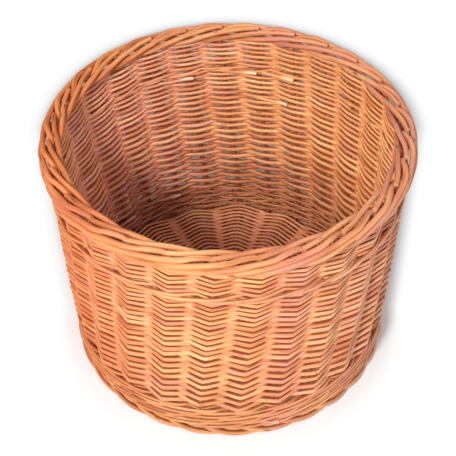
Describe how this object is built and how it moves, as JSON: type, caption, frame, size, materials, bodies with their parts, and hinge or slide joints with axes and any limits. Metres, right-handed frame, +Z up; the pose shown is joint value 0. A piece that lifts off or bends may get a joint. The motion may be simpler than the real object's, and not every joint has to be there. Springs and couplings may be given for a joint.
{
  "type": "basket planter",
  "caption": "Round open willow basket planter with slightly tapered randed walls, a thick middle band, a plaited border of turned-down stakes and a woven floor on a foot rim.",
  "frame": {"origin": "bottom centre of the basket, on the surface that it stands on", "axes": "+Z up along the axis of the basket, -Y towards the front of the picture, +X to its right"},
  "size_m": [0.4001, 0.3999, 0.2998],
  "materials": {
    "stake_willow": "satin buff willow",
    "weave_willow": "satin buff willow",
    "wale_willow": "satin buff willow",
    "foot_willow": "satin buff willow",
    "floor_willow": "matt buff willow"
  },
  "bodies": {
    "root": {"stake_01": "stake_willow", "stake_02": "stake_willow", "stake_03": "stake_willow", "stake_04": "stake_willow", "stake_05": "stake_willow", "stake_06": "stake_willow", "stake_07": "stake_willow", "stake_08": "stake_willow", "stake_09": "stake_willow", "stake_10": "stake_willow", "stake_11": "stake_willow", "stake_12": "stake_willow", "stake_13": "stake_willow", "stake_14": "stake_willow", "stake_15": "stake_willow", "stake_16": "stake_willow", "stake_17": "stake_willow", "stake_18": "stake_willow", "stake_19": "stake_willow", "stake_20": "stake_willow", "stake_21": "stake_willow", "stake_22": "stake_willow", "stake_23": "stake_willow", "stake_24": "stake_willow", "stake_25": "stake_willow", "stake_26": "stake_willow", "stake_27": "stake_willow", "upsett_wale": "wale_willow", "lower_randing": "weave_willow", "upper_randing": "weave_willow", "mid_wale_rod_1": "wale_willow", "mid_wale_rod_2": "wale_willow", "mid_wale_rod_3": "wale_willow", "foot_border": "foot_willow", "slit_stick_1": "floor_willow", "through_stick_1": "floor_willow", "slit_stick_2": "floor_willow", "through_stick_2": "floor_willow", "slit_stick_3": "floor_willow", "through_stick_3": "floor_willow", "slit_stick_4": "floor_willow", "through_stick_4": "floor_willow", "binding": "floor_willow", "floor_weave": "floor_willow", "floor_edge": "floor_willow"}
  },
  "joints": []
}
